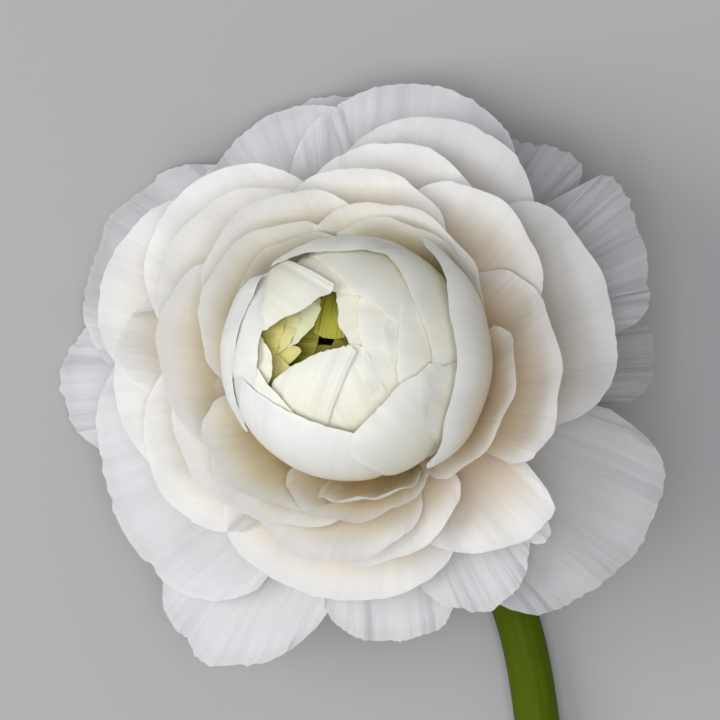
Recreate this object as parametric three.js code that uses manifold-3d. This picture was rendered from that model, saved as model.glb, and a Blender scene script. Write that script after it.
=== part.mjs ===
// A white ranunculus flower, picked, lying on a surface with its bloom facing up.
// Millimetres. +Z is up, the surface is z = 0, and the stem runs toward -Y.
//
// Every petal is a fan-shaped leaf with its foot on the receptacle. It is drawn flat, bent
// along a curve that runs out from the bloom's axis and up, and curved across its width.
// The petals are named by where they sit: guards, cup, globe, heart and core, from the
// outside in. Each whorl's feet are fused into a small dish round the receptacle's post.

import * as THREE from 'three';
import { mergeVertices } from 'three/addons/utils/BufferGeometryUtils.js';
import Module from 'manifold-3d';

// Driving dimensions
const receptacleHeight = 20; // of the point the petals grow from, above the surface
const bloomTilt = 16.5; // degrees that the bloom's axis leans off upright
const bloomLeansToward = 141; // degrees from +X, up and to the left as seen from above
const petalThickness = 0.7;
const layerGap = 0.3; // clear space between neighbouring pieces
const mergeTolerance = 0.02; // triangles flatter than this to their neighbours are merged
const floorBlend = 1.5; // softness of the bend where a petal comes down on the surface
const petalFoot = 4.5; // radius at which an open petal starts
const phaseStep = 1.7; // radians between the rim waves of one petal and those of the next

// The receptacle's post, and the dish of fused petal feet that each whorl has round it:
// lower and upper height at the post, then radius, lower and upper height at the dish's rim
const postRadius = 3;
const postTop = 15.2;
const postRoot = -8.4; // how far down the post reaches inside the stem
const boreReach = 20; // half length of the bore that clears the post
const calyxTop = -4.9;
const hubRadius = 4.6;
const turnedSides = 14;
const sepalDish = [-4.6, -2.9, 6.5, -4.6, -2.9];
const guardDish = [-2.6, -0.75, 12, -2.4, -0.4];
const cupDish = [-0.4, 1.35, 11, 0.2, 3.1];
const globeDish = [1.75, 6.3, 12.5, 5.6, 11];
const heartDish = [7.1, 9.3, 6.2, 8.3, 9.6];
const coreDish = [10.2, 12.3, 5, 11.1, 12.4];
const stamenDish = [13.2, 14.1, 4.9, 13.6, 14.1];

// The globe of closed petals: ellipsoids round one centre, one inside the other
const globeCentre = 21.4; // along the bloom's axis
const closedFoot = -72; // degrees, where a closed petal leaves its dish

// Stem
const stemTopRadius = 3.5;
const stemEndRadius = 4.1;
const calyxRadius = 4.3; // swelling just under the sepals
const calyxDepth = 0.7;
const stemSink = 1.5; // of the stem's top below the calyx's top
const stemSides = 12;
const stemSteps = 36;
const stemPath = [
  [3.2, -3.4, 9.6], [8.2, -9.8, 5.2], [15, -21.5, 3.75], [22.5, -38.2, 3.6],
  [27, -62, 3.75], [31, -90, 3.9], [33, -117, 4], [33.5, -141, 4.1],
];

// How each whorl is made: heights of its lowest and highest foot, height of the waves along
// the petals' rims, and the cells across and along each petal
const sepalWhorl = { feet: [-3.9, -3.6], wave: 0.1, across: 4, along: 3 };
const guardWhorl = { feet: [-2.2, -1.1], wave: 0.5, across: 7, along: 4 };
const cupWhorl = { feet: [0, 0.9], wave: 0.3, across: 5, along: 4 };
const wrapWhorl = { wave: 0.3, across: 7, along: 5 };
const globeWhorl = { wave: 0.1, across: 4, along: 5 };
const heartWhorl = { wave: 0, across: 4, along: 5 };
const coreWhorl = { wave: 0, across: 4, along: 4 };

// Petals that open out, each in brackets of its own:
// turn round the axis, reach of the tip from the axis, rise of the tip above the receptacle,
// slope where the petal starts, slope at its tip, width, arc that the width is curved through
const guardRows = [
  [8, 43, -8, 0, -20, 26, 10], [177, 56, -7, 0, -20, 28, 10], [108, 51, -7, 0, -22, 34, 10],
  [55, 46.5, -4, 3, -12, 29, 10, { tip: 0.6 }], [-121, 51.5, -4, 5, -15, 29, 15, { skew: -0.1 }],
  [151, 56, -6, 2, -20, 39, 15], [-33, 48, -2, 10, -15, 40, 15],
  [-86, 41, -1, 8, -10, 23, 15, { tip: 0.5, flank: 0.5 }], [115, 49.5, -3, 5, -14, 34, 15],
  [28, 47.5, -1, 6, -10, 24, 15, { skew: 0.25 }], [84, 49.5, -2, 7, -8, 38, 20],
  [-61, 40, 1, 5, 0, 20, 15], [-156, 48, 0, 5, -5, 46, 20],
];
const cupRows = [
  [156, 47.5, 7.5, 12, 5, 34, 20], [178, 42, 7, 12, 12, 34, 20], [71, 42.5, 7, 15, 10, 34, 25],
  [-157, 38, 8, 15, 15, 31, 30], [-101, 35.5, 8, 15, 15, 38, 30], [-39, 36.5, 6, 15, 15, 14, 25],
  [19, 39, 9, 15, 20, 33, 35], [139, 42, 12, 15, 30, 33, 40], [82, 36, 12, 20, 25, 30, 30],
  [-49, 34, 13, 15, 30, 22, 30, { tip: 0.45, flank: 0.6 }], [46, 33, 16, 15, 50, 30, 50],
  [-83, 30.5, 15, 15, 35, 26, 40], [-154, 31, 16, 10, 45, 30, 55], [143, 36, 17, 10, 50, 33, 60],
  [-6, 31, 18, 10, 60, 32, 50, { skew: -0.15, tip: 0.6 }], [-99, 30.5, 18, 15, 45, 26, 40],
  [81, 30.5, 18, 10, 55, 36, 60], [-126, 28, 18, 10, 50, 26, 55, { skew: -0.1 }],
  [128, 29, 22, 0, 65, 32, 75], [-11, 25.5, 22, 8, 70, 28, 60],
  [-140, 25, 22, 0, 75, 30, 80, { skew: -0.2 }], [71, 24.5, 21, 0, 70, 32, 75],
  [144, 25.5, 23, 0, 75, 31, 80], [-91, 24.5, 20, 5, 70, 24, 70],
  [-157, 23.8, 26, 0, 78, 26, 75, { skew: -0.3 }], [133, 22.6, 19, 0, 80, 27, 85],
  [61, 22.4, 21, -2, 78, 30, 75], [-84, 22, 26, -4, 88, 16, 42],
];
// Petals that close over the bloom, each in brackets of its own:
// turn, angle of the tip from the axis, half width and half height of its ellipsoid, width
const wrapRows = [
  [0, 66, 21.5, 21.2, 44, { skew: 0.1 }],
];
const globeRows = [
  [-164, 49, 19.75, 20, 30], [6, 56, 19.75, 20, 28],
  [-49, 43, 18.9, 19.15, 27, { skew: 0.3 }], [145, 22, 18.9, 19.15, 34],
  [-108, 40, 18.05, 18.3, 35], [9, 49, 18.05, 18.3, 33],
  [58, 25, 17.2, 17.45, 27, { skew: 0.3 }], [-49, 12, 17.2, 17.45, 30],
  [-139, 15, 16.35, 16.6, 28], [15, 33, 16.35, 16.6, 28],
  [-166, 32, 15.5, 15.75, 24], [-19, 20, 15.5, 15.75, 27],
];
const heartRows = [
  [118, 17, 13.35, 13.6, 19], [10, 14, 13.35, 13.6, 20], [-160, 24, 12.65, 12.9, 17],
];
const coreRows = [
  [75, 24, 10.8, 11, 14], [-30, 27, 10.8, 11, 14], [175, 27, 10.1, 10.3, 13],
];

// Small green pieces. A spread is the full range of a random change.
const sepals = {
  count: 5, reach: 13, rise: -7.5, width: 7.5, claw: 4, firstTurn: 12, startSlope: -15, tipSlope: -55, arc: 45,
};
const carpels = {
  base: 15.5, top: 25, radius: 3.4, steps: 8, rings: 4, perRing: 6, fewest: 3, bump: 1.2, stretch: 1.2,
};
const stamens = {
  count: 12, footRadius: 4.4, sink: 0.3, reach: 5.9, top: 25, filament: 0.4, sides: 4, anther: 0.9,
  antherShape: [0.8, 0.8, 1.6], turnSpread: 0.5, reachSpread: 1.2, heightSpread: 3,
};
const drawSeed = 20260724;

const weldDistance = 1e-5; // points of a mesh closer than this are one point
const straightBend = 0.05; // radians, below which a petal's curve counts as straight

const radians = THREE.MathUtils.degToRad;
const lerp = THREE.MathUtils.lerp;

const wasm = await Module();
wasm.setup();

// ---------------------------------------------------------------- solids

function toSolid(geometry) {
  const plain = geometry.index ? geometry.toNonIndexed() : geometry.clone();
  plain.deleteAttribute('normal');
  plain.deleteAttribute('uv');
  const merged = mergeVertices(plain, weldDistance);
  return new wasm.Manifold(new wasm.Mesh({
    numProp: 3,
    vertProperties: new Float32Array(merged.attributes.position.array),
    triVerts: new Uint32Array(merged.index.array),
  }));
}

function toGeometry(solid) {
  const mesh = solid.getMesh();
  const geometry = new THREE.BufferGeometry();
  geometry.setAttribute('position', new THREE.BufferAttribute(mesh.vertProperties, 3));
  geometry.setIndex(new THREE.BufferAttribute(mesh.triVerts, 1));
  geometry.computeVertexNormals();
  return geometry;
}

function unite(solids) {
  return wasm.Manifold.union(solids);
}

// A small repeatable stream of random numbers from 0 to 1.
function draws(seed) {
  const range = 2 ** 32;
  const step = 1664525;
  const shift = 1013904223;
  let state = seed;
  return () => {
    state = (state * step + shift) % range;
    return state / range;
  };
}

// Keeps the whorl's one body and drops loose scraps left by a cut.
function largest(solid) {
  const bodies = solid.simplify(mergeTolerance).decompose();
  return bodies.reduce((best, body) => (body.volume() > best.volume() ? body : best));
}

// ---------------------------------------------------------------- bloom frame

const leanDirection = radians(bloomLeansToward);
const leanAxis = new THREE.Vector3(-Math.sin(leanDirection), Math.cos(leanDirection), 0);
const bloomFrame = new THREE.Matrix4()
  .makeTranslation(0, 0, receptacleHeight)
  .multiply(new THREE.Matrix4().makeRotationAxis(leanAxis, radians(bloomTilt)));

// A solid of revolution round the bloom's axis, from [radius, height] points.
function turned(points, sides = turnedSides) {
  const profile = points.map(([radius, height]) => new THREE.Vector2(radius, height));
  const geometry = new THREE.LatheGeometry(profile, sides);
  geometry.rotateX(Math.PI / 2);
  geometry.applyMatrix4(bloomFrame);
  return toSolid(geometry);
}

function dish([hubLow, hubHigh, reach, rimLow, rimHigh]) {
  const bore = postRadius + layerGap;
  return turned([
    [bore, hubLow], [hubRadius, hubLow], [reach, rimLow], [reach, rimHigh], [hubRadius, hubHigh],
    [bore, hubHigh], [bore, hubLow],
  ]);
}

// ---------------------------------------------------------------- petals

const petalShape = {
  claw: 5, // width at the foot
  shoulder: 0.6, // share of the length at which the petal is widest
  tip: 0.85, // roundness of the outline's end: lower is squarer
  flank: 0.7, // how fast the claw widens
  skew: 0, // lean of the outline to one side
  waves: 4, // number of half waves across the rim
};

const direction = (angle) => new THREE.Vector2(Math.cos(angle), Math.sin(angle));

// The curve that an open petal follows, in the plane of radius and height.
function openProfile({ foot, reach, rise, startSlope, tipSlope }) {
  const first = new THREE.Vector2(...foot);
  const last = new THREE.Vector2(reach, rise);
  const bend = Math.abs(radians(tipSlope - startSlope));
  const chord = first.distanceTo(last);
  const curved = (chord * 2 * Math.tan(bend / 4)) / (3 * Math.sin(bend / 2));
  const handle = bend < straightBend ? chord / 3 : curved;
  return new THREE.CubicBezierCurve(
    first,
    first.clone().addScaledVector(direction(radians(startSlope)), handle),
    last.clone().addScaledVector(direction(radians(tipSlope)), -handle),
    last,
  );
}

// The curve that a closed petal follows: an arc of its ellipsoid from the foot to the tip.
function closedProfile({ tipAngle, halfWidth, halfHeight }) {
  const from = radians(closedFoot);
  const to = radians(90 - tipAngle);
  const handle = (4 / 3) * Math.tan((to - from) / 4);
  const at = (angle, along) => {
    const point = direction(angle).addScaledVector(direction(angle + Math.PI / 2), along);
    return new THREE.Vector2(point.x * halfWidth, globeCentre + point.y * halfHeight);
  };
  return new THREE.CubicBezierCurve(at(from, 0), at(from, handle), at(to, -handle), at(to, 0));
}

// A smooth maximum, which lays a drooping petal flat on the surface.
function above(height, floor) {
  const blend = Math.max(floorBlend - Math.abs(height - floor), 0) / floorBlend;
  return Math.max(height, floor) + (blend ** 3 * floorBlend) / 6;
}

// The petal's middle surface: a grid of points, `across` by `along` cells.
function petalGrid(petal, profile, { wave, across, along }) {
  const shape = { ...petalShape, ...petal };
  const length = profile.getLength();
  const bend = radians(shape.arc) / shape.width;
  const turn = radians(shape.turn);
  const grid = [];
  for (let column = 0; column <= across; column += 1) {
    const side = lerp(-1, 1, column / across);
    const rimX = (shape.width / 2) * Math.sin((side * Math.PI) / 2);
    const crown = Math.max(Math.cos((side * Math.PI) / 2), 0) ** shape.tip;
    const rimY = length * lerp(shape.shoulder, 1, crown);
    const line = [];
    for (let row = 0; row <= along; row += 1) {
      const out = row / along;
      const x = lerp((side * shape.claw) / 2, rimX, out ** shape.flank);
      const y = rimY * out + shape.skew * x * out;
      const share = THREE.MathUtils.clamp(y / length, 0, 1);
      const tangent = profile.getTangentAt(share);
      const point = profile.getPointAt(share).addScaledVector(tangent, y - share * length);
      const inward = new THREE.Vector2(-tangent.y, tangent.x);
      const ripple = Math.sin(Math.PI * shape.waves * side + shape.phase);
      const lift = wave * out ** 3 * ripple;
      point.addScaledVector(inward, (1 - Math.cos(bend * x)) / bend + Math.cos(bend * x) * lift);
      const aside = Math.sin(bend * x) / bend - Math.sin(bend * x) * lift;
      const place = new THREE.Vector3(
        point.x * Math.cos(turn) - aside * Math.sin(turn),
        point.x * Math.sin(turn) + aside * Math.cos(turn),
        point.y,
      ).applyMatrix4(bloomFrame);
      place.z = above(place.z, petalThickness / 2);
      line.push(place);
    }
    grid.push(line);
  }
  return grid;
}

// Thickens the grid into a closed leaf, with both faces split into triangles alike.
function leaf(grid) {
  const columns = grid.length;
  const rows = grid[0].length;
  const faces = [1, -1].map((face) => grid.map((line, column) => line.map((point, row) => {
    const along = grid[column][Math.min(row + 1, rows - 1)].clone()
      .sub(grid[column][Math.max(row - 1, 0)]);
    const across = grid[Math.min(column + 1, columns - 1)][row].clone()
      .sub(grid[Math.max(column - 1, 0)][row]);
    const normal = across.cross(along).normalize();
    return point.clone().addScaledVector(normal, (face * petalThickness) / 2);
  })));
  const points = faces.flat(2);
  const index = (face, column, row) => face * columns * rows + column * rows + row;
  const triangles = [];
  const quad = (a, b, c, d) => triangles.push(a, b, c, a, c, d);
  for (let column = 0; column < columns - 1; column += 1) {
    for (let row = 0; row < rows - 1; row += 1) {
      const corners = [[column, row], [column + 1, row], [column + 1, row + 1], [column, row + 1]];
      const top = corners.map(([c, r]) => index(0, c, r));
      const under = corners.map(([c, r]) => index(1, c, r));
      quad(...top);
      triangles.push(under[0], under[2], under[1], under[0], under[3], under[2]);
    }
  }
  const edge = [];
  for (let column = 0; column < columns - 1; column += 1) edge.push([column, 0]);
  for (let row = 0; row < rows - 1; row += 1) edge.push([columns - 1, row]);
  for (let column = columns - 1; column > 0; column -= 1) edge.push([column, rows - 1]);
  for (let row = rows - 1; row > 0; row -= 1) edge.push([0, row]);
  edge.forEach(([column, row], step) => {
    const [nextColumn, nextRow] = edge[(step + 1) % edge.length];
    const here = [index(0, column, row), index(1, column, row)];
    const next = [index(0, nextColumn, nextRow), index(1, nextColumn, nextRow)];
    quad(here[1], next[1], next[0], here[0]);
  });
  const geometry = new THREE.BufferGeometry();
  const positions = new Float32Array(points.flatMap((point) => point.toArray()));
  geometry.setAttribute('position', new THREE.BufferAttribute(positions, 3));
  geometry.setIndex(triangles);
  return toSolid(geometry);
}

// Each open petal of a whorl starts a little higher than the one before it.
function openPetals(rows, make) {
  return rows.map(([turn, reach, rise, startSlope, tipSlope, width, arc, more], order) => {
    const foot = [petalFoot, lerp(...make.feet, order / (rows.length - 1))];
    const phase = phaseStep * order;
    const petal = { turn, reach, rise, startSlope, tipSlope, width, arc, foot, phase, ...more };
    return leaf(petalGrid(petal, openProfile(petal), make));
  });
}

function closedPetals(rows, make) {
  return rows.map(([turn, tipAngle, halfWidth, halfHeight, width, more], order) => {
    const arc = THREE.MathUtils.radToDeg(width / halfWidth);
    const phase = phaseStep * order;
    const petal = { turn, tipAngle, halfWidth, halfHeight, width, arc, phase, ...more };
    return leaf(petalGrid(petal, closedProfile(petal), make));
  });
}

// Fuses a whorl's petals to its dish and clears the post's bore.
function whorl(petals, feet) {
  const bore = postRadius + layerGap;
  const drill = turned([[0, -boreReach], [bore, -boreReach], [bore, boreReach], [0, boreReach]]);
  return largest(unite([...petals, dish(feet)]).subtract(drill));
}

function cupPetals() {
  const wrap = closedPetals(wrapRows, wrapWhorl);
  return whorl([...openPetals(cupRows, cupWhorl), ...wrap], cupDish);
}

// ---------------------------------------------------------------- green pieces

function sepalRing() {
  const rows = [];
  for (let order = 0; order < sepals.count; order += 1) {
    const turn = sepals.firstTurn + (360 / sepals.count) * order;
    const { reach, rise, startSlope, tipSlope, width, arc, claw } = sepals;
    rows.push([turn, reach, rise, startSlope, tipSlope, width, arc, { claw }]);
  }
  return whorl(openPetals(rows, sepalWhorl), sepalDish);
}

// The head of carpels: a cone in the middle with rows of small bumps sunk into it.
function carpelHead() {
  const { base, top, radius, steps, rings, perRing, fewest, bump, stretch } = carpels;
  const coneRadius = (height) => radius * Math.sqrt(1 - ((height - base) / (top - base)) ** 2);
  const points = [[0, base]];
  for (let step = 0; step < steps; step += 1) {
    const height = lerp(base, top, step / steps);
    points.push([coneRadius(height), height]);
  }
  const bumps = [turned([...points, [0, top]])];
  for (let ring = 0; ring < rings; ring += 1) {
    const height = lerp(base + bump, top - bump / 2, ring / (rings - 1));
    const count = Math.max(Math.round((perRing * coneRadius(height)) / radius), fewest);
    for (let order = 0; order < count; order += 1) {
      const turn = (2 * Math.PI * (order + ring / 2)) / count;
      const ball = new THREE.OctahedronGeometry(bump, 0);
      ball.scale(1, 1, stretch);
      ball.translate(coneRadius(height) * Math.cos(turn), coneRadius(height) * Math.sin(turn), height);
      ball.applyMatrix4(bloomFrame);
      bumps.push(toSolid(ball));
    }
  }
  return largest(unite(bumps));
}

// Stamens round the carpels: thin filaments from a ring, each with a small anther on its end.
function stamenRing() {
  const { count, footRadius, sink, filament: radius, sides } = stamens;
  const draw = draws(drawSeed);
  const upward = new THREE.Vector3(0, 0, 1);
  const [, hubHigh] = stamenDish;
  const solids = [dish(stamenDish)];
  for (let order = 0; order < count; order += 1) {
    const turn = (2 * Math.PI * (order + stamens.turnSpread * draw())) / count;
    const reach = stamens.reach + stamens.reachSpread * (draw() - 0.5);
    const height = stamens.top + stamens.heightSpread * (draw() - 0.5);
    const out = new THREE.Vector3(Math.cos(turn), Math.sin(turn), 0);
    const start = out.clone().multiplyScalar(footRadius).setZ(hubHigh - sink);
    const end = out.clone().multiplyScalar(reach).setZ(height);
    const along = end.clone().sub(start);
    const filament = new THREE.CylinderGeometry(radius, radius, along.length(), sides);
    const anther = new THREE.OctahedronGeometry(stamens.anther, 0);
    filament.rotateX(Math.PI / 2);
    anther.scale(...stamens.antherShape);
    const upright = new THREE.Quaternion().setFromUnitVectors(upward, along.clone().normalize());
    filament.applyQuaternion(upright);
    anther.applyQuaternion(upright);
    const middle = start.clone().add(end).multiplyScalar(0.5);
    filament.translate(middle.x, middle.y, middle.z);
    anther.translate(end.x, end.y, end.z);
    [filament, anther].forEach((geometry) => solids.push(toSolid(geometry.applyMatrix4(bloomFrame))));
  }
  return largest(unite(solids));
}

// The stem: a tapering sweep along its path, with the receptacle's post standing on its top.
function stemWithPost() {
  const start = new THREE.Vector3(0, 0, calyxTop - stemSink).applyMatrix4(bloomFrame);
  const path = new THREE.CatmullRomCurve3([start, ...stemPath.map((point) => new THREE.Vector3(...point))]);
  const frames = path.computeFrenetFrames(stemSteps);
  const points = [];
  for (let step = 0; step <= stemSteps; step += 1) {
    const share = step / stemSteps;
    const centre = path.getPointAt(share);
    const radius = lerp(stemTopRadius, stemEndRadius, share);
    for (let side = 0; side < stemSides; side += 1) {
      const turn = (2 * Math.PI * side) / stemSides;
      const point = centre.clone()
        .addScaledVector(frames.normals[step], radius * Math.cos(turn))
        .addScaledVector(frames.binormals[step], radius * Math.sin(turn));
      point.z = Math.max(point.z, 0);
      points.push(point);
    }
  }
  points.push(path.getPointAt(0), path.getPointAt(1));
  const triangles = [];
  const top = points.length - 2;
  const end = points.length - 1;
  for (let side = 0; side < stemSides; side += 1) {
    const next = (side + 1) % stemSides;
    for (let step = 0; step < stemSteps; step += 1) {
      const here = step * stemSides;
      const beyond = here + stemSides;
      triangles.push(here + side, here + next, beyond + next, here + side, beyond + next, beyond + side);
    }
    triangles.push(top, next, side, end, stemSteps * stemSides + side, stemSteps * stemSides + next);
  }
  const geometry = new THREE.BufferGeometry();
  const positions = new Float32Array(points.flatMap((point) => point.toArray()));
  geometry.setAttribute('position', new THREE.BufferAttribute(positions, 3));
  geometry.setIndex(triangles);
  const post = turned([
    [0, postRoot], [stemTopRadius - layerGap, postRoot], [calyxRadius, calyxTop - calyxDepth],
    [calyxRadius, calyxTop], [postRadius, calyxTop], [postRadius, postTop], [0, postTop],
  ]);
  return largest(toSolid(geometry).add(post));
}

// ---------------------------------------------------------------- meshes

function material(color, roughness) {
  return new THREE.MeshStandardMaterial({ color, roughness, metalness: 0 });
}

function part(name, solid, look) {
  const mesh = new THREE.Mesh(toGeometry(solid), look);
  mesh.name = name;
  return mesh;
}

const petalWhite = material(0xf4f1ec, 0.6);
const petalCream = material(0xf3efdc, 0.6);
const petalGreen = material(0xd9dca0, 0.6);
const petalOlive = material(0x8a9a3a, 0.6);
const stemGreen = material(0x5f8a1f, 0.5);
const sepalGreen = material(0x8aa54a, 0.6);
const carpelGreen = material(0x7c8c2c, 0.6);
const stamenYellow = material(0xb59a35, 0.8);
const flower = new THREE.Group();
flower.name = 'ranunculus_flower';
flower.add(
  part('stem', stemWithPost(), stemGreen),
  part('sepals', sepalRing(), sepalGreen),
  part('guard_petals', whorl(openPetals(guardRows, guardWhorl), guardDish), petalWhite),
  part('cup_petals', cupPetals(), petalWhite),
  part('globe_petals', whorl(closedPetals(globeRows, globeWhorl), globeDish), petalCream),
  part('heart_petals', whorl(closedPetals(heartRows, heartWhorl), heartDish), petalGreen),
  part('core_petals', whorl(closedPetals(coreRows, coreWhorl), coreDish), petalOlive),
  part('stamens', stamenRing(), stamenYellow),
  part('carpels', carpelHead(), carpelGreen),
);

// The origin is the middle of the flower's box, on the surface.
const box = new THREE.Box3().setFromObject(flower);
const middle = box.getCenter(new THREE.Vector3());
flower.position.set(-middle.x, -middle.y, -box.min.z);

export default flower;
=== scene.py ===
# A picked white ranunculus lying on a pale table, seen from straight above.
# Sizes in the dictionaries are in millimetres and become metres where meshes are made,
# but for the camera's clip, the studio and what is marked as metres. Colours are linear.

import math

import bpy
import numpy as np
from mathutils import Matrix, Vector


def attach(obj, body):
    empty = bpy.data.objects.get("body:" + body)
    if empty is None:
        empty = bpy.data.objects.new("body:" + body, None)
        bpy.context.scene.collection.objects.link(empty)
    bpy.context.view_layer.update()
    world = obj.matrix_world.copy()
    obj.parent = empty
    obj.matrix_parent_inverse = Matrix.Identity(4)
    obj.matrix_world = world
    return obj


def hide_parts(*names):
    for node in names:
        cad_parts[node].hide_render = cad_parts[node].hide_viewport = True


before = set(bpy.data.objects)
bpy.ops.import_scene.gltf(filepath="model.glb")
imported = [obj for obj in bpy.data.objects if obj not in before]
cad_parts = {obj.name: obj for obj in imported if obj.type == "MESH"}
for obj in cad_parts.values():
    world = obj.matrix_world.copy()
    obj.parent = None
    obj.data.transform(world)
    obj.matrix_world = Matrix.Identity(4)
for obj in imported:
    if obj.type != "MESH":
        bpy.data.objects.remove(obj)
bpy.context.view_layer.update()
mm = 0.001
print("frame loaded:", ", ".join(sorted(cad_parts)))

# where the bloom stands

bloom = {
    "foot": (4.73, 46.41),  # point on the table below the receptacle
    "height": 20.0,  # of the receptacle above the table
    "tilt": 16.5,  # degrees off upright
    "leansToward": 141.0,  # degrees from +X, up and to the left of the picture
    "globeCentre": 21.4,  # along the bloom's axis
    "closedFoot": -72.0,  # degrees, where a closed petal leaves the receptacle
    "floorBlend": 1.5,  # softness of the bend where a petal comes down on the table
}

leanAngle = math.radians(bloom["leansToward"])
leanAxis = Vector((-math.sin(leanAngle), math.cos(leanAngle), 0))
bloomTurn = Matrix.Rotation(math.radians(bloom["tilt"]), 3, leanAxis)
bloomPlace = Vector((*bloom["foot"], bloom["height"])) * mm
bloomFrame = Matrix.Translation(bloomPlace) @ bloomTurn.to_4x4()

# camera, table and lights

camera = {
    "place": (-3.2, 3.5),  # from the bloom's foot
    "height": 401.0,
    "lens": 120.0,
    "sensor": 36.0,
    "clip": (0.01, 10),  # metres
}


def makeCamera():
    data = bpy.data.cameras.new("camera")
    data.lens = camera["lens"]
    data.sensor_width = camera["sensor"]
    data.clip_start, data.clip_end = camera["clip"]
    made = bpy.data.objects.new("camera", data)
    x, y = camera["place"]
    made.location = Vector((x + bloom["foot"][0], y + bloom["foot"][1], camera["height"])) * mm
    bpy.context.scene.collection.objects.link(made)
    bpy.context.scene.camera = made


studio = {
    "floorColour": (0.4, 0.4, 0.41, 1),
    "floorRoughness": 0.9,
    "floorSize": 6.0,
    "aim": 25,  # height in mm that the lights point at
    "sky": (0.8, 0.82, 0.86, 1),
    "skyStrength": 0.38,
    # name, place from the aim, size, power in watts, colour
    "lights": [
        ("keyLight", (-0.75, -0.04, 0.6), 0.7, 5.2, (1.0, 0.985, 0.965)),
        ("topLight", (0.0, -0.15, 1.0), 0.7, 5.6, (1.0, 0.995, 0.985)),
    ],
}


def makeStudio():
    half = studio["floorSize"] / 2
    mesh = bpy.data.meshes.new("floor")
    corners = [(-half, -half, 0), (half, -half, 0), (half, half, 0), (-half, half, 0)]
    mesh.from_pydata(corners, [], [(0, 1, 2, 3)])
    floor = bpy.data.objects.new("floor", mesh)
    bpy.context.scene.collection.objects.link(floor)
    paint = bpy.data.materials.new("paleTable")
    paint.use_nodes = True
    shader = paint.node_tree.nodes["Principled BSDF"]
    shader.inputs["Base Color"].default_value = studio["floorColour"]
    shader.inputs["Roughness"].default_value = studio["floorRoughness"]
    mesh.materials.append(paint)
    world = bpy.data.worlds.new("studioSky")
    world.use_nodes = True
    sky = world.node_tree.nodes["Background"]
    sky.inputs["Color"].default_value = studio["sky"]
    sky.inputs["Strength"].default_value = studio["skyStrength"]
    bpy.context.scene.world = world
    bpy.context.scene.view_settings.view_transform = "Standard"
    target = Vector((*bloom["foot"], studio["aim"])) * mm
    for name, place, size, power, colour in studio["lights"]:
        data = bpy.data.lights.new(name, "AREA")
        data.size = size
        data.energy = power
        data.color = colour
        lamp = bpy.data.objects.new(name, data)
        lamp.location = target + Vector(place)
        lamp.rotation_mode = "QUATERNION"
        lamp.rotation_quaternion = (-Vector(place)).to_track_quat("-Z", "Y")
        bpy.context.scene.collection.objects.link(lamp)


makeCamera()
makeStudio()
print("camera, table and lights set")

# helpers for node trees


def feed(tree, socket, value):
    if isinstance(value, bpy.types.NodeSocket):
        tree.links.new(value, socket)
    else:
        socket.default_value = value


def addNode(tree, kind, values=(), **settings):
    made = tree.nodes.new(kind)
    for name, value in settings.items():
        setattr(made, name, value)
    for name, value in dict(values).items():
        feed(tree, made.inputs[name], value)
    return made


def mathIn(tree):
    def calc(operation, *values):
        made = tree.nodes.new("ShaderNodeMath")
        made.operation = operation
        for socket, value in zip(made.inputs, values):
            feed(tree, socket, value)
        return made.outputs[0]

    return calc


def vectorsIn(tree):
    def calc(operation, *values, scale=None):
        made = tree.nodes.new("ShaderNodeVectorMath")
        made.operation = operation
        for socket, value in zip(made.inputs, values):
            feed(tree, socket, value)
        if scale is not None:
            feed(tree, made.inputs["Scale"], scale)
        return made.outputs["Value" if operation == "DOT_PRODUCT" else "Vector"]

    return calc


def combineIn(tree):
    def combine(x, y, z):
        return addNode(tree, "ShaderNodeCombineXYZ", {"X": x, "Y": y, "Z": z}).outputs[0]

    return combine


def splitUp(tree, vector):  # the parts of a vector, by the names X, Y and Z
    return addNode(tree, "ShaderNodeSeparateXYZ", {"Vector": vector}).outputs


def ownPlace(tree):  # the parts of each point's place in its own mesh
    return splitUp(tree, addNode(tree, "GeometryNodeInputPosition").outputs[0])


def noiseAt(tree, place, scale, detail):
    values = {"Vector": place, "Scale": scale, "Detail": detail}
    return addNode(tree, "ShaderNodeTexNoise", values).outputs[0]


def flatSheet(tree, width, across, along):  # a sheet of length 1 with that many points each way
    values = {"Size X": width, "Size Y": 1.0, "Vertices X": across, "Vertices Y": along}
    return addNode(tree, "GeometryNodeMeshGrid", values).outputs


def moveTo(tree, geometry, name, value):  # name is Position or Offset
    return addNode(tree, "GeometryNodeSetPosition", {"Geometry": geometry, name: value}).outputs[0]


def enabledInput(node, name):  # nodes keep a hidden socket of the same name for each type
    return next(socket for socket in node.inputs if socket.name == name and socket.enabled)


def joinIn(tree, parts):
    joined = addNode(tree, "GeometryNodeJoinGeometry")
    for part in parts:
        tree.links.new(part, joined.inputs[0])
    return joined.outputs[0]


def weldIn(tree, geometry, distance):
    values = {"Geometry": geometry, "Distance": distance}
    return addNode(tree, "GeometryNodeMergeByDistance", values).outputs[0]


def smoothIn(tree, geometry):
    return addNode(tree, "GeometryNodeSetShadeSmooth", {"Geometry": geometry}).outputs[0]


def dress(tree, geometry, material, result):  # the last nodes of every tree
    whole = addNode(tree, "GeometryNodeRealizeInstances", {"Geometry": geometry}).outputs[0]
    dressed = addNode(tree, "GeometryNodeSetMaterial", {"Geometry": whole, "Material": material})
    tree.links.new(dressed.outputs[0], result.inputs[0])


def storeValue(tree, geometry, label, value, kind, domain="POINT"):
    made = addNode(tree, "GeometryNodeStoreNamedAttribute", data_type=kind, domain=domain)
    feed(tree, made.inputs["Geometry"], geometry)
    feed(tree, made.inputs["Name"], label)
    feed(tree, enabledInput(made, "Value"), value)
    return made.outputs["Geometry"]


socketKinds = {int: "NodeSocketInt", float: "NodeSocketFloat", tuple: "NodeSocketVector"}


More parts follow.
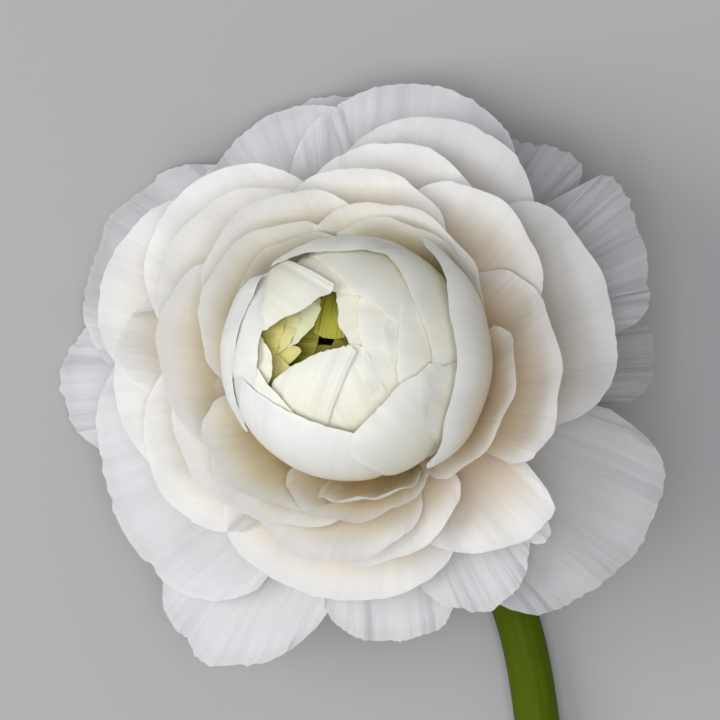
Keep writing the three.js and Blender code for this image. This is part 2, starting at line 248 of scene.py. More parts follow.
def newGeometryTree(name, inputs):  # inputs has a label and a value for each socket of its own
    tree = bpy.data.node_groups.new(name, "GeometryNodeTree")
    for side in ("INPUT", "OUTPUT"):
        tree.interface.new_socket("Geometry", in_out=side, socket_type="NodeSocketGeometry")
    for label, value in inputs.items():
        kind = socketKinds.get(type(value), "NodeSocketMaterial")
        socket = tree.interface.new_socket(label, in_out="INPUT", socket_type=kind)
        socket.default_value = value
    return tree, tree.nodes.new("NodeGroupInput"), tree.nodes.new("NodeGroupOutput")


def runTree(piece, tree, values):
    modifier = piece.modifiers.new("build", "NODES")
    modifier.node_group = tree
    for item in tree.interface.items_tree:
        if item.in_out == "INPUT" and item.name in values:
            modifier[item.identifier] = values[item.name]


sharpAngle = 50  # degrees, from which an edge is shaded as sharp


def settle(piece, name):  # turns the evaluated piece into a plain mesh
    graph = bpy.context.evaluated_depsgraph_get()
    mesh = bpy.data.meshes.new_from_object(piece.evaluated_get(graph), depsgraph=graph)
    bpy.data.objects.remove(piece)
    mesh.name = name
    mesh.set_sharp_from_angle(angle=math.radians(sharpAngle))
    made = bpy.data.objects.new(name, mesh)
    bpy.context.scene.collection.objects.link(made)
    return made


def placePiece(piece, node):
    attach(piece, "root")
    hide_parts(node)
    print(f"{piece.name}: {len(piece.data.polygons)} faces")


# petals: one seed point for each, grown by a node tree


straightBend = 0.05  # radians, up to which a profile counts as straight
profileSteps = 65
footRadius = 3.4
phaseStep = 1.7  # radians between the rim waves of one petal and the next


def openProfile(foot, reach, rise, startSlope, tipSlope):
    first, last = Vector(foot), Vector((reach, rise))
    bend = abs(math.radians(tipSlope - startSlope))
    chord = (last - first).length
    handle = chord / 3
    if bend > straightBend:
        handle = chord * 2 * math.tan(bend / 4) / (3 * math.sin(bend / 2))
    start, end = math.radians(startSlope), math.radians(tipSlope)
    second = first + handle * Vector((math.cos(start), math.sin(start)))
    third = last - handle * Vector((math.cos(end), math.sin(end)))
    return [first, second, third, last]


def closedProfile(tipAngle, halfWidth, halfHeight):
    start, end = math.radians(bloom["closedFoot"]), math.radians(90 - tipAngle)
    handle = 4 / 3 * math.tan((end - start) / 4)

    def at(angle, along):
        x = math.cos(angle) - math.sin(angle) * along
        y = math.sin(angle) + math.cos(angle) * along
        return Vector((x * halfWidth, bloom["globeCentre"] + y * halfHeight))

    return [at(start, 0), at(start, handle), at(end, -handle), at(end, 0)]


def profileLength(points):
    shares = np.linspace(0, 1, profileSteps)[:, None]
    first, second, third, last = (np.array(point) for point in points)
    line = (1 - shares) ** 3 * first + 3 * (1 - shares) ** 2 * shares * second
    line = line + 3 * (1 - shares) * shares**2 * third + shares**3 * last
    return float(np.linalg.norm(np.diff(line, axis=0), axis=1).sum())


petalShape = {
    "claw": 5.0,  # width at the foot
    "shoulder": 0.6,  # share of the length at which the petal is widest
    "tip": 0.85,  # roundness of the outline's end: lower is squarer
    "flank": 0.7,  # how fast the claw widens
    "skew": 0.0,  # lean of the outline to one side
    "waves": 4.0,  # number of half waves across the rim
    "wave": 0.3,  # height of those waves at the rim
    "press": 0.0,  # how far the whole rim is pressed in on the next petal
    "warmth": 0.5,  # from cool white at 0 to cream at 1
    "paintedShade": 1.0,  # painted shade: share of the finish's full brightness, lower on petals that are to look shaded
}


def openRows(rows, feet, **common):  # feet: lowest and highest foot along the axis
    petals = []
    lowFoot, highFoot = feet
    for order, row in enumerate(rows):
        turn, reach, rise, startSlope, tipSlope, width, arc = row[:7]
        more = row[7] if len(row) > 7 else {}
        inward = order / (len(rows) - 1)  # 0 for the outermost petal, 1 for the innermost
        foot = (footRadius, lowFoot + (highFoot - lowFoot) * inward)
        profile = openProfile(foot, reach, rise, startSlope, tipSlope)
        base = {"turn": turn, "width": width, "arc": arc, "profile": profile, "order": order}
        petals.append({**petalShape, **base, "warmth": inward, **common, **more})
    return petals


def closedRows(rows, **common):
    petals = []
    for order, row in enumerate(rows):
        turn, tipAngle, halfWidth, halfHeight, width = row[:5]
        more = row[5] if len(row) > 5 else {}
        profile = closedProfile(tipAngle, halfWidth, halfHeight)
        arc = math.degrees(width / halfWidth)
        base = {"turn": turn, "width": width, "arc": arc, "profile": profile, "order": order}
        petals.append({**petalShape, **base, **common, **more})
    return petals


# petals that open out: turn round the axis, reach of the tip from the axis, its rise above the
# receptacle, slope at the foot and at the tip, width, arc that the width is bent through
# petals given a share below 1 of their full brightness are darkened as painted shade, most the guard petals
# at the right
guardRows = [
    (9, 43, -8, 0, -20, 20, 10, {"tip": 0.5, "paintedShade": 0.42}),
    (177, 56, -7, 0, -20, 28, 10, {"paintedShade": 0.92}),
    (108, 51, -7, 0, -22, 34, 10),
    (62, 45.2, -4, 3, -12, 25, 10, {"skew": -0.3, "tip": 0.2, "flank": 1.1, "paintedShade": 0.57}),
    (-124, 52.5, -4, 5, -15, 28, 15, {"skew": -0.1, "paintedShade": 0.9}),
    (151, 56, -6, 2, -20, 39, 15, {"paintedShade": 0.9}),
    (-36, 47.8, -3, 8, -15, 35, 12, {"skew": 0.12, "tip": 0.5, "paintedShade": 0.64}),
    (-86, 41, -1, 8, -10, 23, 15, {"tip": 0.5, "flank": 0.5, "paintedShade": 0.86}),
    (115, 49.5, -3, 5, -14, 34, 15),
    (28.5, 47, -1, 6, -10, 24, 15, {"skew": 0.25, "tip": 0.15, "flank": 1.7, "paintedShade": 0.58}),
    (84, 49.5, -2, 7, -8, 38, 20),
    (-60, 41, 5, 10, -5, 21, 12, {"paintedShade": 0.84}),
    (-156, 48, 0, 5, -5, 46, 20, {"paintedShade": 0.95}),
]
# petals given a share below 1 of their full brightness are darkened as painted shade, most the cup petals at
# the right
cupRows = [
    (156, 47.5, 7.5, 12, 5, 34, 20, {"warmth": 0.5, "paintedShade": 0.9}),
    (178, 42, 7, 12, 12, 34, 20, {"warmth": 0.5, "paintedShade": 0.95}),
    (71, 42.5, 7, 15, 10, 34, 25, {"paintedShade": 0.82}),
    (-157, 38, 8, 15, 15, 31, 30, {"warmth": 0.6, "paintedShade": 0.97}),
    (-101, 35.5, 8, 15, 15, 38, 30, {"warmth": 0.6, "paintedShade": 0.94}),
    (-43, 38, 6, 15, 15, 8, 25),
    (19, 39, 9, 15, 20, 36, 35, {"tip": 0.5, "warmth": 0.1, "paintedShade": 0.76}),
    (139, 42, 12, 15, 30, 33, 40),
    (82, 36, 12, 20, 25, 30, 30, {"warmth": 0.4, "paintedShade": 0.94}),
    (-50, 36, 13, 15, 30, 20, 30, {"skew": 0.5, "tip": 0.4, "flank": 0.6, "warmth": 0.2, "paintedShade": 0.97}),
    (46, 33, 16, 15, 50, 30, 50, {"warmth": 0.3, "paintedShade": 0.96}),
    (-83, 30.5, 15, 15, 35, 26, 40),
    (-154, 31, 15, 10, 40, 30, 40),
    (143, 36, 17, 10, 50, 33, 60),
    (0, 31.3, 18, 10, 60, 31.5, 50, {"skew": -0.3, "tip": 0.42, "warmth": 0.45, "paintedShade": 0.98}),
    (-99, 30.5, 18, 15, 45, 26, 40),
    (94, 30.5, 18, 10, 55, 30, 60),
    (-126, 28, 18, 10, 50, 26, 55, {"skew": -0.1}),
    (128, 29, 22, 0, 65, 32, 75),
    (178, 31, 19, 5, 65, 34, 70, {"skew": -0.25}),
    (-19, 25.6, 22, 8, 70, 26, 60, {"skew": 0.12, "warmth": 0.6}),
    (-134, 26, 21, 0, 70, 27, 75, {"skew": -0.2}),
    (71, 24.5, 21, 0, 70, 32, 75),
    (144, 25.5, 23, 0, 75, 31, 80),
    (-91, 24.5, 20, 5, 70, 24, 70),
    (133, 22.6, 19, 0, 80, 27, 85),
    (61, 22.4, 21, -2, 78, 30, 75),
    (-84, 22, 26, -4, 88, 16, 42, {"warmth": 0.8}),
]
# petals that close over the bloom: turn, angle of the tip from the axis, half width and half
# height of the ball that they lie on, width
wrapRows = [(2, 60, 21.3, 21.4, 42, {"skew": 0.05, "shoulder": 0.7})]
# petals given a share below 1 of their full brightness are darkened as painted shade
globeRows = [
    (
        180, 52, 19.5, 19.2, 25,
        {"skew": -0.4, "shoulder": 0.85, "flank": 0.45, "warmth": 0.1, "paintedShade": 0.93, "press": 0.9},
    ),
    (92, 50, 18.3, 18.5, 23, {"shoulder": 0.85, "flank": 0.2, "warmth": 0.5}),
    (-24, 54, 19.1, 19.3, 18, {"tip": 1.4, "shoulder": 0.5, "flank": 0.5, "press": 0.3}),
    (-46, 42, 18.8, 19.0, 20, {"tip": 0.35, "shoulder": 0.75, "warmth": 0.4}),
    (18, 49, 18.4, 18.6, 38, {"shoulder": 0.95, "skew": 0.05}),
    (174, 35, 18.45, 18.65, 24, {"shoulder": 0.8, "warmth": 0.1, "paintedShade": 0.95, "press": 0.9}),
    (-114, 41, 18.4, 18.5, 32, {"shoulder": 0.98, "flank": 0.45, "warmth": 0, "paintedShade": 0.97, "press": 0.4}),
    (-140, 38, 17.6, 17.8, 24, {"shoulder": 0.9, "flank": 0.4}),
    (0, 37, 17.6, 17.8, 28, {"shoulder": 0.8}),
    (145, 20, 17.6, 17.8, 15, {"skew": -0.6, "shoulder": 0.9, "tip": 0.5, "flank": 0.55, "paintedShade": 0.94}),
    (60, 29, 17.2, 17.4, 26, {"skew": -0.2, "shoulder": 0.85}),
    (0, 30, 16.9, 17.1, 18, {"shoulder": 0.75, "skew": 0.1}),
    (85, 25, 16.7, 16.9, 16, {"skew": -0.25, "shoulder": 0.8, "warmth": 1}),
    (5, 18, 16.5, 16.7, 20, {"shoulder": 0.95}),
    (-172, 44, 17.2, 17.4, 13, {"skew": 0.35, "shoulder": 0.8, "warmth": 0.8}),
    (-172, 32, 16.8, 17.0, 11, {"skew": 0.35, "shoulder": 0.8, "warmth": 1}),
    (-115, 9, 16.6, 16.8, 11, {"skew": 0.9, "shoulder": 0.9, "tip": 0.5, "paintedShade": 0.95, "press": 0.35}),
    (-65, 7, 16.2, 16.4, 12, {"shoulder": 0.8, "tip": 0.5}),
    (25, 10, 15.8, 16.0, 18, {"shoulder": 0.85, "warmth": 1}),
]
heartRows = [
    (170, 28, 15.4, 15.6, 10, {"skew": -0.1, "shoulder": 0.85, "tip": 0.5}),
    (160, 20, 15.1, 15.3, 9, {"shoulder": 0.85, "tip": 0.5, "warmth": 0.7}),
    (145, 12, 14.8, 15.0, 11, {"tip": 0.5, "shoulder": 0.8, "warmth": 0}),
    (-140, 27, 15.0, 15.2, 11, {"tip": 0.5, "shoulder": 0.85, "warmth": 0.8}),
    (-165, 18, 14.5, 14.7, 7, {"tip": 1.1, "shoulder": 0.5}),
    (-70, 18, 14.2, 14.4, 16),
    (20, 12, 14.2, 14.4, 12),
]
# core petals given a share below 1 of their full brightness are darkened as painted shade, deep in the eye
coreRows = [
    (85, 2, 12.9, 13.1, 18),
    (-30, 2, 12.6, 12.8, 16, {"paintedShade": 0.5}),
    (175, 9, 12.3, 12.5, 15, {"paintedShade": 0.7}),
    (-110, 2, 12.0, 12.2, 15, {"paintedShade": 0.5}),
]

# what each whorl's petals share; growth goes to their tree, with its lengths in metres
guards = {
    "feet": (-2.2, -1.1),
    "shape": {"wave": 0.5, "warmth": 0.2},
    "growth": {"Across": 81, "Along": 41, "Ruffle": 0.0011, "Ruffle Count": 9.0, "Rim Roughness": 0.035},
}
cups = {
    "feet": (0, 0.9),
    "wrap": {"press": 0.6},
    "lowCount": 14,  # of the outermost, which make a piece of their own
    "growth": {"Across": 49, "Along": 37},
}
globe = {
    "shape": {"wave": 0.1, "press": 0.2, "warmth": 0.7},
    "growth": {"Across": 41, "Along": 41},
}
heart = {
    "shape": {"wave": 0.1, "press": 0.3, "warmth": 1.0},
    "growth": {"Across": 31, "Along": 31},
}
core = {"shape": {"wave": 0}, "growth": {"Across": 31, "Along": 31}}
sepals = {
    "count": 5,
    "firstTurn": 12,
    "reach": 13,
    "rise": -7.5,
    "startSlope": -15,
    "tipSlope": -55,
    "width": 7.5,
    "arc": 45,
    "claw": 4,
    "thickness": 0.5,
    "feet": (-3.9, -3.6),
    "growth": {"Across": 17, "Along": 21},
}

seedNames = ["turn", "width", "length", "claw", "shoulder", "tip", "flank", "skew", "bend"]
seedNames += ["waves", "wave", "phase", "press", "warmth", "paintedShade", "number"]


def makeSeeds(name, petals):  # a mesh of loose points that carries one petal's numbers at each
    mesh = bpy.data.meshes.new(name + "Seeds")
    mesh.from_pydata([(0, 0, 0)] * len(petals), [], [])
    columns = {label: [] for label in seedNames}
    corners = [[], [], [], []]
    for number, petal in enumerate(petals):
        for corner, point in zip(corners, petal["profile"]):
            corner.extend((point[0] * mm, point[1] * mm, 0))
        values = {**petal, "turn": math.radians(petal["turn"]), "number": number}
        values["length"] = profileLength(petal["profile"])
        for label in ("width", "length", "claw", "wave", "press"):
            values[label] *= mm
        values["bend"] = math.radians(petal["arc"]) / values["width"]
        values["phase"] = phaseStep * petal["order"]
        for label in seedNames:
            columns[label].append(values[label])
    for label, column in columns.items():
        mesh.attributes.new(label, "FLOAT", "POINT").data.foreach_set("value", column)
    for label, corner in zip(("profileA", "profileB", "profileC", "profileD"), corners):
        mesh.attributes.new(label, "FLOAT_VECTOR", "POINT").data.foreach_set("vector", corner)
    seeds = bpy.data.objects.new(name + "Seeds", mesh)
    bpy.context.scene.collection.objects.link(seeds)
    return seeds


petalThickness = 0.24
petalGrowth = {  # where a whorl doesn't say otherwise, with lengths in metres
    "Across": 41,
    "Along": 31,
    "Ruffle": 0.0004,
    "Ruffle Count": 6.0,
    "Rim Roughness": 0.02,
    "Seed": 1.0,
    "Half Thickness": petalThickness * mm / 2,
    "Petal Material": None,
}
petalRim = {
    "broad": (3.5, 3.0),  # scale and detail of the rim's broad unevenness
    "fine": (16.0, 1.0),  # and of its fine unevenness
    "fineShare": 0.45,
    "fineShift": 5.0,  # keeps the fine pattern apart from the broad one
    "ruffle": (1.0, 2.0),
    "waveGrowth": 3.0,  # powers with which each of these grows toward the rim
    "ruffleGrowth": 4.0,
    "pressGrowth": 7.0,
    "footSteepness": 4.0,  # how fast a petal gets away from the edge at its foot
    "taper": 12.0,  # how fast it thickens from its edge
    "weld": 1e-7,  # metres
}


def petalTree():
    tree, given, result = newGeometryTree("growPetals", petalGrowth)
    calc, vector, combine = mathIn(tree), vectorsIn(tree), combineIn(tree)
    half = given.outputs["Half Thickness"]

    def read(label, kind="FLOAT"):
        made = addNode(tree, "GeometryNodeInputNamedAttribute", {"Name": label}, data_type=kind)
        return made.outputs["Attribute"]

    def noise(x, y, z, look):
        return calc("SUBTRACT", noiseAt(tree, combine(x, y, z), *look), 0.5)

    # a flat sheet for each petal: side runs from -1 to 1 across it and out from foot to rim
    sheet = flatSheet(tree, 2.0, given.outputs["Across"], given.outputs["Along"])
    split = ownPlace(tree)
    flat = storeValue(tree, sheet["Mesh"], "petalMap", sheet["UV Map"], "FLOAT2", "CORNER")
    flat = storeValue(tree, flat, "side", split["X"], "FLOAT")
    flat = storeValue(tree, flat, "out", calc("ADD", split["Y"], 0.5), "FLOAT")
    values = {"Points": given.outputs["Geometry"], "Instance": flat}
    spread = addNode(tree, "GeometryNodeInstanceOnPoints", values).outputs["Instances"]
    sheets = addNode(tree, "GeometryNodeRealizeInstances", {"Geometry": spread}).outputs[0]

    side, out, number = read("side"), read("out"), calc("ADD", read("number"), given.outputs["Seed"])
    width, length, bend = read("width"), read("length"), read("bend")

    # the outline, with a slightly uneven rim
    quarter = calc("MULTIPLY", side, math.pi / 2)
    rimX = calc("MULTIPLY", calc("MULTIPLY", width, 0.5), calc("SINE", quarter))
    crown = calc("POWER", calc("MAXIMUM", calc("COSINE", quarter), 0.0), read("tip"))
    shoulder = read("shoulder")
    rimShare = calc("ADD", shoulder, calc("MULTIPLY", calc("SUBTRACT", 1.0, shoulder), crown))
    broad = noise(side, number, 0.0, petalRim["broad"])
    fine = noise(side, number, petalRim["fineShift"], petalRim["fine"])
    uneven = calc("ADD", broad, calc("MULTIPLY", fine, petalRim["fineShare"]))
    depth = calc("MULTIPLY", given.outputs["Rim Roughness"], 2.0)
    rimShare = calc("ADD", rimShare, calc("MULTIPLY", uneven, depth))
    rimY = calc("MULTIPLY", length, rimShare)
    widen = calc("POWER", out, read("flank"))
    clawX = calc("MULTIPLY", side, calc("MULTIPLY", read("claw"), 0.5))
    flatX = calc("ADD", clawX, calc("MULTIPLY", calc("SUBTRACT", rimX, clawX), widen))
    lean = calc("MULTIPLY", calc("MULTIPLY", read("skew"), flatX), out)
    flatY = calc("ADD", calc("MULTIPLY", rimY, out), lean)

    # the profile that the petal's middle follows, a Bezier curve, and its slope
    share = calc("MINIMUM", calc("MAXIMUM", calc("DIVIDE", flatY, length), 0.0), 1.0)
    rest = calc("SUBTRACT", 1.0, share)
    pointA, pointB = read("profileA", "FLOAT_VECTOR"), read("profileB", "FLOAT_VECTOR")
    pointC, pointD = read("profileC", "FLOAT_VECTOR"), read("profileD", "FLOAT_VECTOR")
    weights = [
        calc("POWER", rest, 3.0),
        calc("MULTIPLY", calc("MULTIPLY", calc("POWER", rest, 2.0), share), 3.0),
        calc("MULTIPLY", calc("MULTIPLY", calc("POWER", share, 2.0), rest), 3.0),
        calc("POWER", share, 3.0),
    ]
    point = vector("SCALE", pointA, scale=weights[0])
    for corner, weight in zip((pointB, pointC, pointD), weights[1:]):
        point = vector("ADD", point, vector("SCALE", corner, scale=weight))
    slopeWeights = [
        calc("POWER", rest, 2.0),
        calc("MULTIPLY", calc("MULTIPLY", rest, share), 2.0),
        calc("POWER", share, 2.0),
    ]
    slope = None
    for before, after, weight in zip((pointA, pointB, pointC), (pointB, pointC, pointD), slopeWeights):
        step = vector("SCALE", vector("SUBTRACT", after, before), scale=weight)
        slope = step if slope is None else vector("ADD", slope, step)
    slope = vector("NORMALIZE", slope)
    beyond = calc("SUBTRACT", flatY, calc("MULTIPLY", share, length))
    point = vector("ADD", point, vector("SCALE", slope, scale=beyond))
    inward = vector("CROSS_PRODUCT", (0, 0, 1), slope)

    # waves along the rim, and finer ruffles
    swing = calc("MULTIPLY", calc("MULTIPLY", read("waves"), side), math.pi)
    ripple = calc("SINE", calc("ADD", swing, read("phase")))
    waveRise = calc("POWER", out, petalRim["waveGrowth"])
    lift = calc("MULTIPLY", calc("MULTIPLY", read("wave"), waveRise), ripple)
    along = calc("MULTIPLY", side, given.outputs["Ruffle Count"])
    ruffle = calc("MULTIPLY", noise(along, out, number, petalRim["ruffle"]), given.outputs["Ruffle"])
    ruffle = calc("MULTIPLY", ruffle, calc("POWER", out, petalRim["ruffleGrowth"]))
    lift = calc("ADD", lift, calc("MULTIPLY", ruffle, 2.0))

    # the rim is pressed in on the next petal
    flankShare = calc("SUBTRACT", 1.0, calc("ABSOLUTE", side))
    footShare = calc("MULTIPLY", out, petalRim["footSteepness"])
    edge = calc("MINIMUM", calc("MINIMUM", calc("SUBTRACT", 1.0, out), flankShare), footShare)
    pressRise = calc("POWER", calc("SUBTRACT", 1.0, edge), petalRim["pressGrowth"])
    hug = calc("MULTIPLY", read("press"), pressRise)
    lift = calc("ADD", lift, hug)

    # bent across its width, then turned round the bloom's axis
    angle = calc("MULTIPLY", bend, flatX)
    bow = calc("DIVIDE", calc("SUBTRACT", 1.0, calc("COSINE", angle)), bend)
    rise = calc("ADD", bow, calc("MULTIPLY", calc("COSINE", angle), lift))
    point = vector("ADD", point, vector("SCALE", inward, scale=rise))
    sweep = calc("SINE", angle)
    aside = calc("SUBTRACT", calc("DIVIDE", sweep, bend), calc("MULTIPLY", sweep, lift))
    profile = splitUp(tree, point)
    turn = read("turn")
    radius, height = profile["X"], profile["Y"]
    sine, cosine = calc("SINE", turn), calc("COSINE", turn)
    x = calc("SUBTRACT", calc("MULTIPLY", radius, cosine), calc("MULTIPLY", aside, sine))
    y = calc("ADD", calc("MULTIPLY", radius, sine), calc("MULTIPLY", aside, cosine))
    place = combine(x, y, height)
    rows = [vector("DOT_PRODUCT", place, tuple(bloomTurn[row])) for row in range(3)]
    stand = [calc("ADD", rows[row], bloomPlace[row]) for row in range(3)]

    # laid softly on the table where it would sink into it
    blend = bloom["floorBlend"] * mm
    above = calc("SUBTRACT", stand[2], half)
    near = calc("MAXIMUM", calc("SUBTRACT", blend, calc("ABSOLUTE", above)), 0.0)
    soft = calc("MULTIPLY", calc("POWER", calc("DIVIDE", near, blend), 3.0), blend / 6)
    rested = calc("ADD", calc("ADD", calc("MAXIMUM", above, 0.0), soft), half)
    smooth = smoothIn(tree, moveTo(tree, sheets, "Position", combine(stand[0], stand[1], rested)))

    # two faces, apart in the middle and welded where they meet at the rim
    taper = calc("MINIMUM", calc("MULTIPLY", edge, petalRim["taper"]), 1.0)
    normal = addNode(tree, "GeometryNodeInputNormal").outputs[0]
    faces = []
    for facing in (1.0, -1.0):
        away = calc("MULTIPLY", calc("MULTIPLY", taper, half), facing)
        face = moveTo(tree, smooth, "Offset", vector("SCALE", normal, scale=away))
        if facing < 0:
            face = addNode(tree, "GeometryNodeFlipFaces", {"Mesh": face}).outputs[0]
        faces.append(face)
    closed = weldIn(tree, joinIn(tree, faces), petalRim["weld"])
    dress(tree, closed, given.outputs["Petal Material"], result)
    return tree


growPetals = petalTree()


def makeWhorl(name, petals, material, node, growth):
    seeds = makeSeeds(name, petals)
    runTree(seeds, growPetals, {**petalGrowth, "Petal Material": material, **growth})
    placePiece(settle(seeds, name), node)


# finishes


def newMaterial(name, roughness, colour):
    made = bpy.data.materials.new(name)
    made.use_nodes = True
    shader = made.node_tree.nodes["Principled BSDF"]
    shader.inputs["Roughness"].default_value = roughness
    shader.inputs["Base Color"].default_value = colour
    return made, made.node_tree, shader


def rampIn(tree, value, stops):
    made = addNode(tree, "ShaderNodeValToRGB")
    ramp = made.color_ramp
    while len(ramp.elements) < len(stops):
        ramp.elements.new(0.5)
    for element, (position, colour) in zip(ramp.elements, stops):
        element.position = position
        element.color = (*colour, 1)
    feed(tree, made.inputs[0], value)
    return made.outputs["Color"]


def blendColours(tree, kind, share, first, second):
    made = addNode(tree, "ShaderNodeMix", data_type="RGBA", blend_type=kind)
    feed(tree, made.inputs["Factor"], share)
    sockets = [socket for socket in made.inputs if socket.type == "RGBA"]
    for socket, value in zip(sockets, (first, second)):
        feed(tree, socket, value)
    return next(socket for socket in made.outputs if socket.type == "RGBA")


def readShade(tree, label):  # a value that the piece's tree has stored
    made = addNode(tree, "ShaderNodeAttribute", attribute_name=label, attribute_type="GEOMETRY")
    return made.outputs["Fac"]


def coat(tree, shader, colour, height, bump, even):  # even has the values that don't vary
    feed(tree, shader.inputs["Base Color"], colour)
    depth, strength = bump
    values = {"Height": height, "Distance": depth, "Strength": strength}
    feed(tree, shader.inputs["Normal"], addNode(tree, "ShaderNodeBump", values).outputs[0])
    for name, value in even.items():
        shader.inputs[name].default_value = value


petalSkin = {
    "roughness": 0.5,
    "ribStretch": 1.6,  # how much the ribs change from foot to rim
    "ribDetail": 3.0,
    "numberStep": 7.3,  # moves the ribs' pattern from one petal to the next
    "ribRange": (0.3, 0.7),
    # darker in the grooves of the rib bump: vein colour and painted shade
    "ribTones": (0.93, 1.0),
    "even": {
        "Subsurface Radius": (1.0, 0.95, 0.9),
        "Subsurface Scale": 0.003,  # metres
        "Specular IOR Level": 0.3,
    },
}


def petalFinish(name, cool, warm, ribs, ribDepth, light):
    made, tree, shader = newMaterial(name, petalSkin["roughness"], (*cool[-1][1], 1))
    calc, combine = mathIn(tree), combineIn(tree)
    split = splitUp(tree, addNode(tree, "ShaderNodeUVMap", uv_map="petalMap").outputs[0])
    out = split["Y"]
    across, along = calc("MULTIPLY", split["X"], ribs), calc("MULTIPLY", out, petalSkin["ribStretch"])
    shift = calc("MULTIPLY", readShade(tree, "number"), petalSkin["numberStep"])
    rib = noiseAt(tree, combine(across, along, shift), 1.0, petalSkin["ribDetail"])
    values = {"Value": rib}
    values["From Min"], values["From Max"] = petalSkin["ribRange"]
    values["To Min"], values["To Max"] = petalSkin["ribTones"]
    # the ribs' lines, darker where the bump is low: vein colour and painted shade in the grooves
    paintedShade = addNode(tree, "ShaderNodeMapRange", values).outputs[0]
    coolBody, warmBody = rampIn(tree, out, cool), rampIn(tree, out, warm)
    body = blendColours(tree, "MIX", readShade(tree, "warmth"), coolBody, warmBody)
    # the ramp's colour, times the ribs' lines and times each petal's painted shade
    colour = blendColours(tree, "MULTIPLY", 1.0, body, calc("MULTIPLY", paintedShade, readShade(tree, "paintedShade")))
    even = {**petalSkin["even"], "Subsurface Weight": light}
    coat(tree, shader, colour, rib, (ribDepth, 1.0), even)
    return made


# colours from foot to rim, of a whorl's cool petals and of its warm ones
# The guard petals are greyer and more lavender than the cups and the globe: painted shade over their own
# cream foot. The brighter last stop at the rim is a painted highlight.
guardCool = [
    (0.0, (0.84, 0.79, 0.66)), (0.35, (0.81, 0.8, 0.78)), (0.7, (0.77, 0.77, 0.8)),
    (0.97, (0.77, 0.77, 0.8)), (1.0, (0.86, 0.86, 0.88)),
]
guardWarm = [
    (0.0, (0.86, 0.79, 0.62)), (0.5, (0.86, 0.83, 0.76)), (0.9, (0.8, 0.8, 0.82)),
    (1.0, (0.88, 0.88, 0.89)),
]
# Darker and rosier toward the foot: painted shade where the next petal hides the light, over the petals' own
# cream foot. The brightest stops at the rim are a painted highlight.
cupCool = [
    (0.0, (0.62, 0.42, 0.3)), (0.55, (0.67, 0.54, 0.44)), (0.75, (0.77, 0.7, 0.64)),
    (0.88, (0.89, 0.87, 0.85)), (0.965, (0.93, 0.93, 0.94)), (1.0, (0.99, 0.99, 1.0)),
]
# Deep cream-orange toward the foot: the petals' own cream base, deepened to paint the warm light in the gaps
# between petals. The brightest stop at the rim is a painted highlight.
cupWarm = [
    (0.0, (0.86, 0.54, 0.18)), (0.6, (0.89, 0.67, 0.34)), (0.8, (0.91, 0.83, 0.63)),
    (0.92, (0.94, 0.92, 0.86)), (0.965, (0.94, 0.93, 0.89)), (1.0, (0.98, 0.975, 0.96)),
]
globeCool = [
    (0.0, (0.95, 0.85, 0.5)), (0.6, (0.96, 0.93, 0.8)), (0.85, (0.97, 0.965, 0.93)),
    (1.0, (0.97, 0.97, 0.97)),
]
globeWarm = [
    (0.0, (0.93, 0.85, 0.4)), (0.65, (0.96, 0.93, 0.66)), (0.85, (0.97, 0.955, 0.78)),
    (1.0, (0.97, 0.96, 0.84)),
]
heartPale = [(0.0, (0.6, 0.64, 0.16)), (0.7, (0.8, 0.79, 0.4)), (1.0, (0.88, 0.88, 0.6))]
heartGreen = [(0.0, (0.5, 0.49, 0.05)), (0.7, (0.71, 0.66, 0.14)), (1.0, (0.8, 0.74, 0.25))]
coreOlive = [(0.0, (0.16, 0.17, 0.01)), (0.7, (0.3, 0.32, 0.02)), (1.0, (0.46, 0.44, 0.06))]
sepalGreen = [(0.0, (0.25, 0.36, 0.08)), (0.8, (0.34, 0.46, 0.14)), (1.0, (0.5, 0.52, 0.22))]

# after the colours: how close the ribs lie, their depth in metres, the weight of subsurface light
guardFinish = petalFinish("guardPetal", guardCool, guardWarm, 30.0, 0.0003, 0.4)
cupFinish = petalFinish("cupPetal", cupCool, cupWarm, 26.0, 0.00018, 0.4)
globeFinish = petalFinish("globePetal", globeCool, globeWarm, 18.0, 0.0001, 0.25)
heartFinish = petalFinish("heartPetal", heartPale, heartGreen, 14.0, 0.00012, 0.3)
coreFinish = petalFinish("corePetal", coreOlive, coreOlive, 30.0, 0.001, 0.1)
sepalFinish = petalFinish("sepal", sepalGreen, sepalGreen, 8.0, 0.00012, 0.7)

# the whorls, from the outside in
guardPetals = openRows(guardRows, guards["feet"], **guards["shape"])
cupPetals = openRows(cupRows, cups["feet"]) + closedRows(wrapRows, **cups["wrap"])
lowCups, highCups = cupPetals[: cups["lowCount"]], cupPetals[cups["lowCount"] :]
globePetals = closedRows(globeRows, **globe["shape"])
heartPetals = closedRows(heartRows, **heart["shape"])
corePetals = closedRows(coreRows, **core["shape"])
makeWhorl("guardPetals", guardPetals, guardFinish, "guard_petals", guards["growth"])
makeWhorl("cupPetalsLow", lowCups, cupFinish, "cup_petals", cups["growth"])
makeWhorl("cupPetalsHigh", highCups, cupFinish, "cup_petals", cups["growth"])
makeWhorl("globePetals", globePetals, globeFinish, "globe_petals", globe["growth"])
makeWhorl("heartPetals", heartPetals, heartFinish, "heart_petals", heart["growth"])
makeWhorl("corePetals", corePetals, coreFinish, "core_petals", core["growth"])

# the sepals are alike, and grow as the petals do
sepalSizes = [sepals[key] for key in ("reach", "rise", "startSlope", "tipSlope", "width", "arc")]
sepalRows = []
for order in range(sepals["count"]):
    turn = sepals["firstTurn"] + 360 / sepals["count"] * order
    sepalRows.append((turn, *sepalSizes, {"claw": sepals["claw"]}))
sepalGrowth = {**sepals["growth"], "Half Thickness": sepals["thickness"] * mm / 2}
makeWhorl("sepals", openRows(sepalRows, sepals["feet"]), sepalFinish, "sepals", sepalGrowth)

# the stem, with the receptacle on its top

